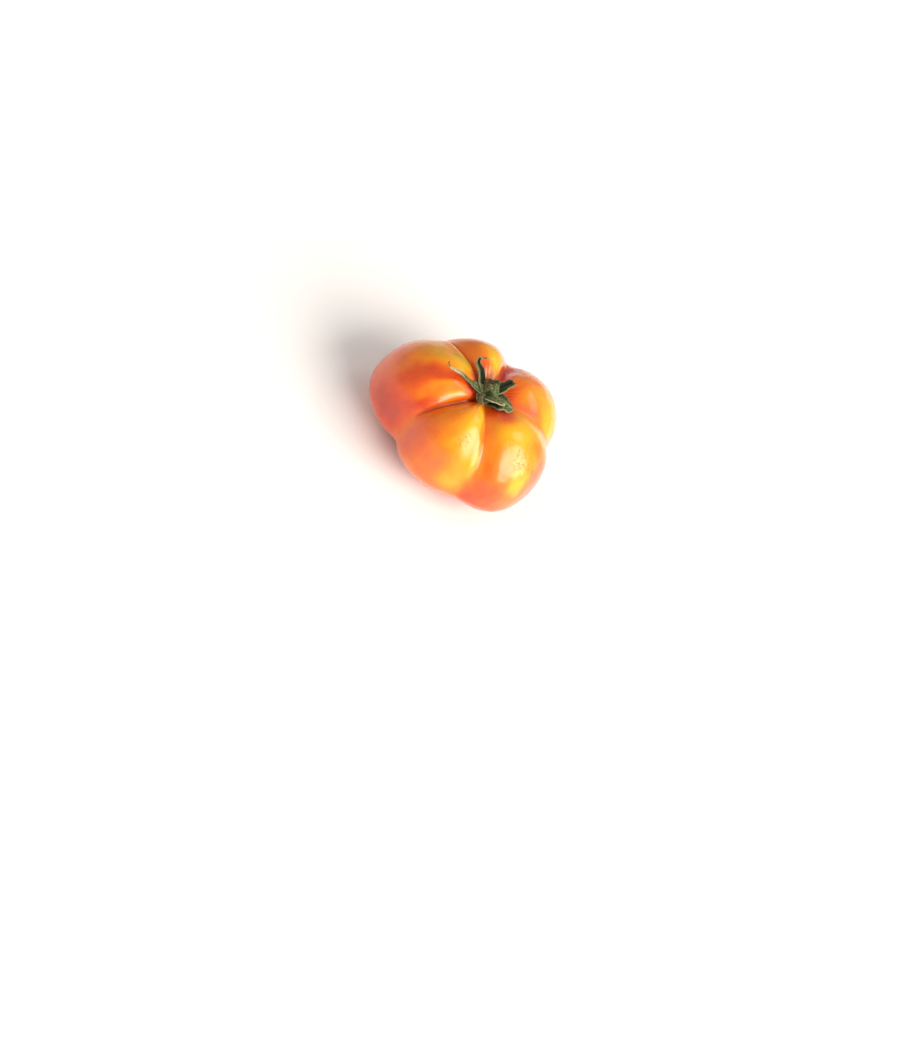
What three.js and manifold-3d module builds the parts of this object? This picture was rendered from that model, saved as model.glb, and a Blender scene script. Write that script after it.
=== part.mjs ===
// A ribbed beefsteak tomato as picked, standing on its blossom end with its green crown up.
// Millimetres and degrees, +Z up. The origin is on the resting plane, below the middle of the fruit's box.
// Bearings run anticlockwise seen from above, from +X.
import * as THREE from "three";
import { mergeVertices } from "three/addons/utils/BufferGeometryUtils.js";
import Module from "manifold-3d";

// Where the stem's axis stands from the middle of the box: the lobes don't reach out equally far.
const STEM_AXIS = { x: -0.15, y: -3.9 };

// The five grooves that run from stem to blossom end: each one's bearing at the waist, how far it has turned from
// there by the stem (rise, and curl for what comes late) and by the blossom end (drop), and how deep it is at the
// shoulder, waist and foot.
const GROOVES = [
  { bearing: -206, rise: 9, curl: 7, drop: 1, shoulder: 4.2, waist: 2.8, foot: 3.5 },
  { bearing: -118.5, rise: 0, curl: 10, drop: 2.5, shoulder: 7.2, waist: 7.2, foot: 4 },
  { bearing: -55.5, rise: 5.5, curl: -18.5, drop: 11.5, shoulder: 5, waist: 2.8, foot: 4 },
  { bearing: 24, rise: -4, curl: -2, drop: 0.5, shoulder: 4.4, waist: 7.2, foot: 4 },
  { bearing: 96, rise: 1, curl: 0, drop: 0, shoulder: 8.4, waist: 2.8, foot: 3.5 },
];

// The lobe that follows each groove: its reach from the axis, the height of its shoulder and how tightly
// its sides are creased towards the grooves.
const LOBES = [
  { reach: 50.6, shoulder: 58, crease: 2 },
  { reach: 42, shoulder: 59, crease: 2.2 },
  { reach: 49.8, shoulder: 58.8, crease: 3 },
  { reach: 54, shoulder: 57.2, crease: 1.8 },
  { reach: 41, shoulder: 61.2, crease: 2.4 },
];

// The broad first lobe is two grown together: a shallow furrow marks the line.
const FURROW = { bearing: -157, depth: 1.8, spread: 10 };

const WAIST_HEIGHT = 21;
const CREASE_ROUNDING = 0.06; // radians either side of a groove's bottom that are rounded
const SHOULDER_FULLNESS = 0.83; // 1 is an ellipse, less is a fuller shoulder
const FOOT_FULLNESS = 0.97;
const BASIN = { depth: 12.5, radius: 15 }; // the hollow round the stem
const DIMPLE = { depth: 5, radius: 13 }; // the hollow at the blossom end
const PRESSED = 3.4; // how much of the lobes' round undersides is flattened where the fruit rests
const GROOVE_FADE = { from: 0.55, to: 0.05 }; // shares of the reach between which the grooves die out
const FULL_DEPTH_AT = 0.85; // sine of the latitude where a groove has its shoulder or foot depth
const DEPTH_EASE = 1.5; // how late a groove's depth changes on its way from the waist
const MIDDLE_HEIGHT = 59; // the lobes' shoulders even out to this height towards the stem
const MIDDLE_BLEND = 0.45; // share of the reach over which they do

// The stub of stem: where its foot stands on the basin's floor, how far its end leans over from there, and its
// girth from foot to end.
const STUB = { foot: [2, 0, 46.5], height: 7.5, lean: { x: -5.2, y: 2.7 }, radii: [6.6, 5.2, 4.1, 3.4, 3.1], ribs: 5 };
const STUB_RIB = 0.3;
const STUB_SLOPE = { x: 0.8, y: -0.25 }; // how steeply its end rises to each side, because it tore askew
const TORN = { height: 0.7, hollow: 0.7, waves: 2, turn: 1 }; // the uneven, sunken dry end
const TORN_NEAR_END = 12; // the higher, the closer to the end the tearing stays

// The six sepals. A line runs along each one's middle from inside the stub to the tip, from the stem's axis.
// A fold over 0 lifts both edges, under 0 they hang; degrees from flat. Bluntness is the tip's share of the width.
const SEPALS = [
  {
    line: [[-1, -1.4, 49.6], [-7.6, -5.4, 51], [-11.6, -7.4, 52.6], [-16.4, -10, 54.6], [-19.9, -12.8, 56],
      [-22, -15.1, 57.6], [-24, -15.9, 60]],
    width: 3.5, fold: 10, bluntness: 0.24,
  },
  {
    line: [[-1, 0.8, 49.4], [-7.1, 0.8, 51.2], [-10.3, 1.9, 53.4], [-13.2, 1.8, 55.4], [-15.1, 1.5, 57.4],
      [-15.7, 3.1, 59], [-12.9, 5.8, 59.6]],
    width: 4.8, fold: 36, bluntness: 0.34,
  },
  {
    line: [[0.8, 1.6, 49.4], [2.4, 5.4, 51.5], [3.2, 8.1, 53], [4, 10.6, 54], [4.4, 13, 54.4]],
    width: 8.4, fold: 42, bluntness: 0.8,
  },
  {
    line: [[0, -2.6, 50], [2.3, -5.4, 53.2], [5.8, -5, 54.6], [9.3, -3, 54.4]],
    width: 6, fold: 12, bluntness: 0.3,
  },
  {
    line: [[1.2, 0, 50], [3.6, -0.4, 52.4], [7.2, -0.8, 54], [10.5, -0.4, 54.2], [13.6, 0.7, 53.2]],
    width: 13, fold: -20, bluntness: 0.66,
  },
  {
    line: [[-0.6, -1.8, 49.8], [-1.4, -5.4, 51.6], [-0.8, -8.6, 52.4], [1.4, -11, 52]],
    width: 8, fold: -24, bluntness: 0.72,
  },
];
const SEPAL_THICKNESS = { root: 0.95, tip: 0.76 };
const SEPAL_ROOT = 0.22; // where on a half wave of width a sepal starts, so that its root is narrower
const TIP_ROUNDING = 8; // the higher, the nearer to its end a blunt tip rounds off
const TIP_HALF_WIDTH = 0.45;
const RIPPLE = { height: 0.35, waves: 9, apart: 2 }; // the waves along the edges, in radians along and between
const CLEARANCE = 0.3; // between the green crown and the fruit's skin

const SEGMENTS_A_LOBE = 20;
const ROWS = 30;
const STUB_SIDES = 20;
const STUB_STEPS = 8;
const SEPAL_STEPS = 14;
const SEPAL_CELLS = 4;

const rad = THREE.MathUtils.degToRad;
const clamp = THREE.MathUtils.clamp;

// The middle bearing of each lobe, and half of the angle that it spans.
const spans = GROOVES.map((groove, i) => {
  const next = i + 1 < GROOVES.length ? GROOVES[i + 1].bearing : GROOVES[0].bearing + 360;
  return { crest: (groove.bearing + next) / 2, half: (next - groove.bearing) / 2 };
});

// A value given at several bearings, eased from each to the next all the way round.
function easedRound(bearings, values, bearing) {
  const turn = (angle) => ((angle % 360) + 360) % 360;
  let best = 0;
  for (let i = 1; i < bearings.length; i++) {
    if (turn(bearing - bearings[i]) < turn(bearing - bearings[best])) best = i;
  }
  const next = (best + 1) % bearings.length;
  const share = turn(bearing - bearings[best]) / turn(bearings[next] - bearings[best]);
  const ease = (1 - Math.cos(Math.PI * share)) / 2;
  return values[best] * (1 - ease) + values[next] * ease;
}

// What the skin does along one meridian: its bearing and turns, reach, shoulder height and groove depths.
function meridian(lobe, across) {
  const { crest, half } = spans[lobe];
  const bearing = crest + across * half;
  const ofLobes = (key) => easedRound(spans.map((span) => span.crest), LOBES.map((l) => l[key]), bearing);
  const ofGrooves = (key) => easedRound(GROOVES.map((g) => g.bearing), GROOVES.map((g) => g[key]), bearing);
  const fromGroove = Math.hypot((1 - Math.abs(across)) * rad(half), CREASE_ROUNDING) - CREASE_ROUNDING;
  const widest = Math.hypot(rad(half), CREASE_ROUNDING) - CREASE_ROUNDING;
  const fromFurrow = THREE.MathUtils.euclideanModulo(bearing - FURROW.bearing + 180, 360) - 180;
  return {
    bearing: rad(bearing),
    rise: rad(ofGrooves("rise")),
    curl: rad(ofGrooves("curl")),
    drop: rad(ofGrooves("drop")),
    reach: ofLobes("reach"),
    top: ofLobes("shoulder"),
    groove: (1 - fromGroove / widest) ** LOBES[lobe].crease,
    shoulder: ofGrooves("shoulder"),
    waist: ofGrooves("waist"),
    foot: ofGrooves("foot"),
    furrow: FURROW.depth * Math.exp(-((fromFurrow / FURROW.spread) ** 2)),
  };
}

// A point of the skin on a meridian, at a latitude from -90 to 90 degrees in radians. Grown moves it outwards.
function skinPoint(line, latitude, grown) {
  const above = latitude > 0;
  const fullness = above ? SHOULDER_FULLNESS : FOOT_FULLNESS;
  const cos = Math.max(Math.cos(latitude), 0);
  const sin = Math.abs(Math.sin(latitude));
  const outward = cos ** fullness;
  const settled = THREE.MathUtils.smoothstep(outward, 0, MIDDLE_BLEND);
  const rise = above
    ? THREE.MathUtils.lerp(MIDDLE_HEIGHT, line.top, settled) - WAIST_HEIGHT
    : -(WAIST_HEIGHT + PRESSED);

  const normal = new THREE.Vector2(
    cos ** (2 - fullness) / line.reach,
    sin ** (2 - fullness) / rise,
  ).normalize();
  const end = above ? line.shoulder : line.foot;
  const towardsEnd = clamp(sin / FULL_DEPTH_AT, 0, 1);
  const depth = THREE.MathUtils.lerp(line.waist, end, towardsEnd ** DEPTH_EASE) * line.groove;
  const furrow = above ? line.furrow * towardsEnd : 0;
  const fade = THREE.MathUtils.smoothstep(outward, GROOVE_FADE.to, GROOVE_FADE.from);
  const inward = (depth + furrow) * fade - grown;

  const r = Math.max(line.reach * outward - normal.x * inward, 0);
  let z = WAIST_HEIGHT + rise * sin ** fullness - normal.y * inward;
  if (above) z -= BASIN.depth * Math.exp(-((r / BASIN.radius) ** 2));
  else z = Math.max(z + DIMPLE.depth * Math.exp(-((r / DIMPLE.radius) ** 2)), 0);
  const turned = above ? line.rise * sin + line.curl * (1 - cos) : line.drop * sin;
  const bearing = line.bearing + turned;
  return new THREE.Vector3(r * Math.cos(bearing), r * Math.sin(bearing), z);
}

// The whole fruit: a sphere's grid with each column laid along a meridian.
function fruitGeometry(grown = 0) {
  const columns = SEGMENTS_A_LOBE * LOBES.length;
  const geometry = new THREE.SphereGeometry(1, columns, ROWS);
  const { position, uv } = geometry.attributes;
  const lines = Array.from({ length: columns }, (_, i) =>
    meridian(Math.floor(i / SEGMENTS_A_LOBE), (2 * (i % SEGMENTS_A_LOBE)) / SEGMENTS_A_LOBE - 1),
  );
  for (let i = 0; i < position.count; i++) {
    const line = lines[Math.round(uv.getX(i) * columns) % columns];
    const point = skinPoint(line, (uv.getY(i) - 0.5) * Math.PI, grown);
    position.setXYZ(i, point.x, point.y, point.z);
  }
  geometry.deleteAttribute("normal");
  geometry.deleteAttribute("uv");
  return mergeVertices(geometry);
}

const wasm = await Module();
wasm.setup();

// A closed geometry as a solid that can be joined and cut.
function solid(geometry) {
  return new wasm.Manifold(
    new wasm.Mesh({
      numProp: 3,
      vertProperties: geometry.attributes.position.array,
      triVerts: new Uint32Array(geometry.index.array),
    }),
  );
}

// A list of values read at a share of its length, straight between its entries.
function along(values, share) {
  const place = clamp(share, 0, 1) * (values.length - 1);
  const before = Math.min(Math.floor(place), values.length - 2);
  return THREE.MathUtils.lerp(values[before], values[before + 1], place - before);
}

// The stub of stem: a ribbed column that flares to its foot, leans, and ends torn.
function stubGeometry() {
  const geometry = new THREE.CylinderGeometry(1, 1, 1, STUB_SIDES, STUB_STEPS);
  const { position } = geometry.attributes;
  for (let i = 0; i < position.count; i++) {
    const up = position.getY(i) + 0.5;
    const out = Math.hypot(position.getX(i), position.getZ(i));
    const bearing = Math.atan2(-position.getZ(i), position.getX(i));
    const radius = (along(STUB.radii, up) + STUB_RIB * Math.cos(STUB.ribs * bearing)) * out;
    const x = radius * Math.cos(bearing);
    const y = radius * Math.sin(bearing);
    const askew = STUB_SLOPE.x * x + STUB_SLOPE.y * y;
    const torn = TORN.height * Math.sin(TORN.waves * bearing + TORN.turn) * out - TORN.hollow * (1 - out);
    position.setXYZ(
      i,
      STUB.foot[0] + x + STUB.lean.x * up ** 2,
      STUB.foot[1] + y + STUB.lean.y * up ** 2,
      STUB.foot[2] + STUB.height * up + askew * up ** 2 + torn * up ** TORN_NEAR_END,
    );
  }
  geometry.deleteAttribute("normal");
  geometry.deleteAttribute("uv");
  return mergeVertices(geometry);
}

// Half of a sepal's width at a share of its length.
function sepalHalfWidth({ width, bluntness }, share) {
  const taper = Math.sin(Math.PI * THREE.MathUtils.lerp(SEPAL_ROOT, 1, share));
  const grown = share > 0.5 ? Math.max(taper, bluntness) : taper;
  return Math.max((width / 2) * grown * Math.sqrt(1 - share ** TIP_ROUNDING), TIP_HALF_WIDTH);
}

// A sepal as a thin closed blade: an upper and a lower face on the same grid, split alike, and a rim.
function sepalGeometry(sepal) {
  const { line, fold } = sepal;
  const curve = new THREE.CatmullRomCurve3(line.map((point) => new THREE.Vector3(...point)));
  const chord = curve.getPoint(1).sub(curve.getPoint(0)).setZ(0);
  const side = new THREE.Vector3(0, 0, 1).cross(chord).normalize();
  const upper = [];
  const lower = [];
  for (let i = 0; i <= SEPAL_STEPS; i++) {
    const t = i / SEPAL_STEPS;
    const middle = curve.getPointAt(t);
    const ahead = curve.getTangentAt(t);
    side.addScaledVector(ahead, -side.dot(ahead)).normalize();
    const outside = ahead.clone().cross(side);
    const half = sepalHalfWidth(sepal, t);
    const thickness = THREE.MathUtils.lerp(SEPAL_THICKNESS.root, SEPAL_THICKNESS.tip, t);
    for (let j = 0; j <= SEPAL_CELLS; j++) {
      const across = (2 * j) / SEPAL_CELLS - 1;
      const ripple = RIPPLE.height * Math.sin(RIPPLE.waves * t + RIPPLE.apart * Math.sign(across));
      const lift = half * Math.abs(across) * Math.sin(rad(fold)) + ripple * t * across ** 2;
      const point = middle.clone()
        .addScaledVector(side, half * across * Math.cos(rad(fold)))
        .addScaledVector(outside, lift);
      upper.push(point.clone().addScaledVector(outside, thickness / 2));
      lower.push(point.clone().addScaledVector(outside, -thickness / 2));
    }
  }

  const row = SEPAL_CELLS + 1;
  const under = upper.length;
  const triangles = [];
  for (let i = 0; i < SEPAL_STEPS; i++) {
    for (let j = 0; j < SEPAL_CELLS; j++) {
      const [a, b, c, d] = [i * row + j, i * row + j + 1, (i + 1) * row + j + 1, (i + 1) * row + j];
      triangles.push(a, d, b, b, d, c);
      triangles.push(under + a, under + b, under + d, under + b, under + c, under + d);
    }
  }
  const rim = [];
  for (let j = 0; j < SEPAL_CELLS; j++) rim.push(j);
  for (let i = 0; i < SEPAL_STEPS; i++) rim.push(i * row + SEPAL_CELLS);
  for (let j = SEPAL_CELLS; j > 0; j--) rim.push(SEPAL_STEPS * row + j);
  for (let i = SEPAL_STEPS; i > 0; i--) rim.push(i * row);
  rim.forEach((from, k) => {
    const to = rim[(k + 1) % rim.length];
    triangles.push(from, to, under + to, from, under + to, under + from);
  });

  const geometry = new THREE.BufferGeometry().setFromPoints([...upper, ...lower]);
  geometry.setIndex(triangles);
  return geometry;
}

// Stem and sepals as one body, cut back to stay just clear of the fruit.
function calyxGeometry() {
  const grown = SEPALS.reduce((body, sepal) => body.add(solid(sepalGeometry(sepal))), solid(stubGeometry()));
  const mesh = grown.subtract(solid(fruitGeometry(CLEARANCE))).getMesh();
  const geometry = new THREE.BufferGeometry();
  geometry.setAttribute("position", new THREE.BufferAttribute(new Float32Array(mesh.vertProperties), 3));
  geometry.setIndex(Array.from(mesh.triVerts));
  return geometry;
}

const tomato = new THREE.Group();
tomato.position.set(STEM_AXIS.x, STEM_AXIS.y, 0);

const fruit = new THREE.Mesh(
  fruitGeometry(),
  new THREE.MeshStandardMaterial({ color: 0xf07a1e, roughness: 0.35, metalness: 0 }),
);
fruit.name = "fruit";
tomato.add(fruit);

const calyx = new THREE.Mesh(
  calyxGeometry(),
  new THREE.MeshStandardMaterial({ color: 0x5c6e35, roughness: 0.8, metalness: 0 }),
);
calyx.name = "calyx";
tomato.add(calyx);

export default tomato;
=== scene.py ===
"""A ribbed beefsteak tomato dressed for the studio: waxy skin, green crown, light and camera.

Named sizes are in millimetres and degrees, Blender's own units are metres. Bearings run anticlockwise seen
from above, from +X, round the stem's axis. Elevations are seen from a point on that axis at the fruit's
waist, so 0 is level with it, 90 is the stem and -90 the blossom end.
"""

import logging
import math
from collections.abc import Iterable
from dataclasses import dataclass, field, replace
from enum import Enum

import bpy
import numpy as np
from mathutils import Matrix, Vector, noise


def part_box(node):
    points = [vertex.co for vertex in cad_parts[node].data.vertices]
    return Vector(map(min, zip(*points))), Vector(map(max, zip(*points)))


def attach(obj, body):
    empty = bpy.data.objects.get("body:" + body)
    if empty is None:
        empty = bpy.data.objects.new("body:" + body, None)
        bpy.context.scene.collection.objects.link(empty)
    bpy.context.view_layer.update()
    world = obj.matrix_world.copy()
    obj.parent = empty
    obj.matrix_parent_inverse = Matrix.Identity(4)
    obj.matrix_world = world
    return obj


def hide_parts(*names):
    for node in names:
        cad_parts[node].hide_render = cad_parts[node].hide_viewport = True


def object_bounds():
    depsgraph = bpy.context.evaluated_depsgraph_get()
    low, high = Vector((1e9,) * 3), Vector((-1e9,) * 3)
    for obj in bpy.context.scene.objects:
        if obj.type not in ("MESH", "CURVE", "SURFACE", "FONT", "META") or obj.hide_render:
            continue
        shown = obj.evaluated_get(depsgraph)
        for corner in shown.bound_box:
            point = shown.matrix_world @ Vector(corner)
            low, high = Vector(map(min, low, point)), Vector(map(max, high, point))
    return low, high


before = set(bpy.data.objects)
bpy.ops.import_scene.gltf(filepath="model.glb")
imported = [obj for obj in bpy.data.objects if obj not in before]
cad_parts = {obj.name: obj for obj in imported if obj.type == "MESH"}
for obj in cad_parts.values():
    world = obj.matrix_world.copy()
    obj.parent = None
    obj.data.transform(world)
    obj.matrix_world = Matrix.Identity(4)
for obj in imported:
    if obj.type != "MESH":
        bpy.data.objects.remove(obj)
CAD_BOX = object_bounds()

LOG = logging.getLogger("tomato")
MM = 0.001
SEED = 20
STEM_AXIS = np.array([-0.15, -3.9, 0.0])
WAIST = 24.0  # the height that elevations are seen from
ROUNDNESS = 0.83  # the solid's own: 1 is an ellipse from waist to stem, less is fuller
OPENING = 16.0  # degrees of elevation over which a crisp crease opens into a valley
CREASES_START = (4.0, 9.0)  # millimetres out from the axis where creases fade in
OPEN_BLEND = 5.0  # millimetres over which two lobes' colours meet in an open valley
Point = tuple[float, float, float]
Source = bpy.types.Node | bpy.types.NodeSocket | tuple[float, ...] | float


class Lip(Enum):
    """Which side of a groove swells over it, seen from above."""

    CLOCKWISE = -1
    NEITHER = 0
    ANTICLOCKWISE = 1


class Lobe(Enum):
    """The lobes, each by the number of the groove that it follows anticlockwise."""

    LEFT = 0
    FRONT_LEFT = 1
    FRONT_RIGHT = 2
    RIGHT = 3
    BACK = 4


class Layer(Enum):
    """The attributes that carry a surface's colouring to its material: its own, and painted shade and sheen.
    """

    RIPENESS = "ripeness"
    # wax bloom, with painted sheen and painted highlights laid in it
    BLOOM = "bloom_and_sheen"
    GREEN = "green"
    # painted shade: in the grooves, round the stem, and in the crown's folds, roots and hollows
    CREASE = "crease"
    SCUFF = "scuff"
    FLOW = "flow"
    PALE = "pale"
    DRY = "dry"
    VEIN = "vein"


def linear(code: str) -> tuple[float, float, float, float]:
    """Turns an sRGB colour to the linear one that Blender mixes.

    Args:
        code: six hex digits after a hash.

    Returns:
        Red, green, blue and an alpha of 1.
    """
    parts = [int(code[i:i + 2], 16) / 255 for i in (1, 3, 5)]
    return (*(p / 12.92 if p <= 0.04045 else ((p + 0.055) / 1.055) ** 2.4 for p in parts), 1.0)


def ease(low: float | np.ndarray, high: float | np.ndarray, values: np.ndarray) -> np.ndarray:
    """Rises smoothly from 0 at low to 1 at high, or falls where high is under low.

    Args:
        low: the value that gives 0.
        high: the value that gives 1.
        values: where it is read.

    Returns:
        A share from 0 to 1 for each value.
    """
    share = np.clip((values - low) / (high - low), 0, 1)
    return share * share * (3 - 2 * share)


def hump(values: np.ndarray, middle: float, spread: float) -> np.ndarray:
    """A soft bell, 1 at its middle and about a third at its spread.

    Args:
        values: where it is read.
        middle: where it peaks.
        spread: how far it reaches to each side.

    Returns:
        A share from 0 to 1 for each value.
    """
    return np.exp(-(((values - middle) / spread) ** 2))


def turned(degrees: np.ndarray) -> np.ndarray:
    """Brings angles into -180 to 180 degrees."""
    return (degrees + 180) % 360 - 180


def uneven(points: np.ndarray, size: float, octaves: int = 3) -> np.ndarray:
    """Smooth unevenness, the same on every run.

    Args:
        points: places in millimetres, one a row.
        size: how far apart its bumps are, in millimetres.
        octaves: how many finer layers it has.

    Returns:
        About -1 to 1 for each place.
    """
    return np.array([noise.fractal(Vector(p), 1.0, 2.0, octaves) for p in points / size])


def use(piece: bpy.types.Object) -> None:
    """Makes a piece the only selected one and the active one.

    Args:
        piece: the object that the next operator works on.
    """
    bpy.ops.object.select_all(action="DESELECT")
    piece.select_set(True)
    bpy.context.view_layer.objects.active = piece


def added(name: str) -> bpy.types.Object:
    """Names the primitive that was just added and settles it at the origin.

    Args:
        name: the piece's name.

    Returns:
        The object, with its place in its mesh.
    """
    piece = bpy.context.active_object
    piece.name = piece.data.name = name
    bpy.ops.object.transform_apply(location=True, rotation=True, scale=True)
    return piece


def points_of(piece: bpy.types.Object) -> np.ndarray:
    """Reads where a piece's vertices are.

    Args:
        piece: the object whose mesh is read.

    Returns:
        Millimetres from the stem's axis, one row a vertex.
    """
    flat = np.empty(len(piece.data.vertices) * 3)
    piece.data.vertices.foreach_get("co", flat)
    return flat.reshape(-1, 3) / MM - STEM_AXIS


def normals_of(piece: bpy.types.Object) -> np.ndarray:
    """Reads which way a piece's vertices face.

    Args:
        piece: the object whose mesh is read.

    Returns:
        Outward directions of length 1, one row a vertex.
    """
    flat = np.empty(len(piece.data.vertices) * 3)
    piece.data.vertex_normals.foreach_get("vector", flat)
    return flat.reshape(-1, 3)


def place(piece: bpy.types.Object, points: np.ndarray) -> None:
    """Moves every vertex of a piece.

    Args:
        piece: the object whose mesh is shaped.
        points: millimetres from the stem's axis, one row a vertex.
    """
    piece.data.vertices.foreach_set("co", ((points + STEM_AXIS) * MM).ravel())
    piece.data.update()


def modify(piece: bpy.types.Object, kind: str, **settings: float | int | bool | str) -> None:
    """Adds a modifier to a piece and applies it.

    Args:
        piece: the object it works on.
        kind: Blender's name for the modifier's type.
        **settings: its properties.
    """
    use(piece)
    modifier = piece.modifiers.new(kind.lower(), kind)
    for key, value in settings.items():
        setattr(modifier, key, value)
    bpy.ops.object.modifier_apply(modifier=modifier.name)


def subdivide(piece: bpy.types.Object, levels: int) -> None:
    """Rounds a piece by Subdivision Surface."""
    modify(piece, "SUBSURF", levels=levels, render_levels=levels)


def paint(piece: bpy.types.Object, layer: Layer, values: np.ndarray) -> None:
    """Writes a layer of the surface's own colouring.

    Args:
        piece: the object whose mesh carries it.
        layer: which one.
        values: a number, or a row of three, for each vertex.
    """
    kind, key = ("FLOAT", "value") if values.ndim == 1 else ("FLOAT_VECTOR", "vector")
    attribute = piece.data.attributes.new(layer.value, kind, "POINT")
    attribute.data.foreach_set(key, values.astype(np.float32).ravel())


def add_node(
    tree: bpy.types.NodeTree,
    kind: str,
    inputs: dict[str | int, Source] | None = None,
    stops: Iterable[tuple[float, str]] = (),
    **settings: float | str | bool,
) -> bpy.types.Node:
    """Adds a node with its settings and links.

    Args:
        tree: the material's or world's node tree.
        kind: Blender's name for the node's type, without its first word.
        inputs: what goes into inputs, by name or number.
        stops: place and sRGB colour of each stop, on a node that has a colour ramp.
        **settings: the node's own properties.

    Returns:
        The node.
    """
    node = tree.nodes.new("ShaderNode" + kind)
    for key, value in settings.items():
        setattr(node, key, value)
    for number, (position, code) in enumerate(stops):
        elements = node.color_ramp.elements
        stop = elements[number] if number < len(elements) else elements.new(position)
        stop.position, stop.color = position, linear(code)
    connect(tree, node, inputs or {})
    return node


def connect(tree: bpy.types.NodeTree, node: bpy.types.Node, inputs: dict[str | int, Source]) -> None:
    """Sets or links a node's inputs.

    Args:
        tree: the node's tree.
        node: the node.
        inputs: by name or number, a value, a socket to link, or a node to link by its first output in use.
    """
    for key, value in inputs.items():
        if isinstance(value, bpy.types.Node):
            value = next(output for output in value.outputs if output.enabled)
        if isinstance(value, bpy.types.NodeSocket):
            tree.links.new(value, node.inputs[key])
        else:
            node.inputs[key].default_value = value


def laid_over(
    tree: bpy.types.NodeTree,
    colour: Source,
    layer: bpy.types.NodeSocket,
    pattern: bpy.types.Node,
    breakup: tuple[float, float],
    tint: Source,
) -> bpy.types.Node:
    """Lays a tint over a colour where a painted layer says, broken up by a pattern.

    Args:
        tree: the material's node tree.
        colour: what it is laid over.
        layer: how much of the tint there is, from 0 to 1.
        pattern: what breaks it up.
        breakup: how strongly the pattern shows in it, and what is left of it where the pattern is 0.
        tint: the colour that is laid over.

    Returns:
        The node that gives the mixed colour.
    """
    gain, floor = breakup
    varied = add_node(tree, "Math", {0: pattern, 1: gain, 2: floor}, operation="MULTIPLY_ADD")
    cover = add_node(tree, "Math", {0: layer, 1: varied}, operation="MULTIPLY", use_clamp=True)
    return add_node(tree, "Mix", {0: cover, 6: colour, 7: tint}, data_type="RGBA")


def new_material(name: str) -> tuple[bpy.types.Material, bpy.types.NodeTree, bpy.types.Node]:
    """Starts a material.

    Args:
        name: what it is.

    Returns:
        The material, its node tree and its shader.
    """
    material = bpy.data.materials.new(name)
    material.use_nodes = True
    tree = material.node_tree
    tree.nodes.clear()
    shader = add_node(tree, "BsdfPrincipled")
    add_node(tree, "OutputMaterial", {"Surface": shader})
    return material, tree, shader


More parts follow.
